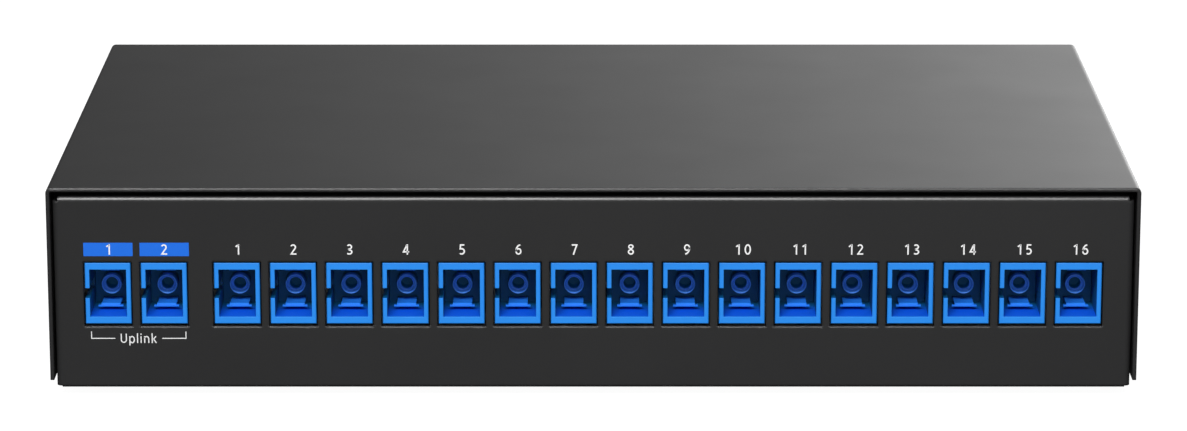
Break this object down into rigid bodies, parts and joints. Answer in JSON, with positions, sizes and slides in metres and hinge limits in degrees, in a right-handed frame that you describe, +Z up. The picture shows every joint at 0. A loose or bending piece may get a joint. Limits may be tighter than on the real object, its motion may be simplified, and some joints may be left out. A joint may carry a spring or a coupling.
{
  "type": "fibre optic splitter",
  "caption": "Passive fibre splitter in a folded steel desktop case, with a front row of blue SC adapters and two uplink ports.",
  "frame": {"origin": "under the middle of the case, on the plane that the feet stand on", "axes": "+X to the right along the port row, +Y from the port panel to the back, +Z up"},
  "size_m": [0.2216, 0.1386, 0.0441],
  "materials": {
    "powder_coat": "fine matt powder coat",
    "zinc_steel": "zinc plated",
    "adapter_blue": "moulded satin",
    "latch_blue": "moulded satin",
    "plug_blue": "moulded satin",
    "boot_white": "moulded matt",
    "foam": "closed cell foam",
    "module_steel": "bright steel tube",
    "fibre_jacket": "extruded jacket",
    "clip_nylon": "moulded matt",
    "black_screw": "black passivated",
    "rubber": "moulded"
  },
  "bodies": {
    "root": {"adapter_uplink_1": "adapter_blue", "adapter_uplink_2": "adapter_blue", "adapter_01": "adapter_blue", "adapter_02": "adapter_blue", "adapter_03": "adapter_blue", "adapter_04": "adapter_blue", "adapter_05": "adapter_blue", "adapter_06": "adapter_blue", "adapter_07": "adapter_blue", "adapter_08": "adapter_blue", "adapter_09": "adapter_blue", "adapter_10": "adapter_blue", "adapter_11": "adapter_blue", "adapter_12": "adapter_blue", "adapter_13": "adapter_blue", "adapter_14": "adapter_blue", "adapter_15": "adapter_blue", "adapter_16": "adapter_blue", "latch_uplink_1": "latch_blue", "latch_uplink_2": "latch_blue", "latch_01": "latch_blue", "latch_02": "latch_blue", "latch_03": "latch_blue", "latch_04": "latch_blue", "latch_05": "latch_blue", "latch_06": "latch_blue", "latch_07": "latch_blue", "latch_08": "latch_blue", "latch_09": "latch_blue", "latch_10": "latch_blue", "latch_11": "latch_blue", "latch_12": "latch_blue", "latch_13": "latch_blue", "latch_14": "latch_blue", "latch_15": "latch_blue", "latch_16": "latch_blue", "base_pan": "powder_coat", "top_cover": "powder_coat", "adapter_rail": "zinc_steel", "pigtail_plugs": "plug_blue", "plug_boots": "boot_white", "module_foam_pad": "foam", "splitter_module": "module_steel", "module_end_caps": "boot_white", "output_pigtails": "fibre_jacket", "input_pigtails": "fibre_jacket", "bundle_clips": "clip_nylon", "cover_screws": "black_screw", "foot_front_left": "rubber", "foot_front_right": "rubber", "foot_rear_left": "rubber", "foot_rear_right": "rubber"}
  },
  "joints": []
}
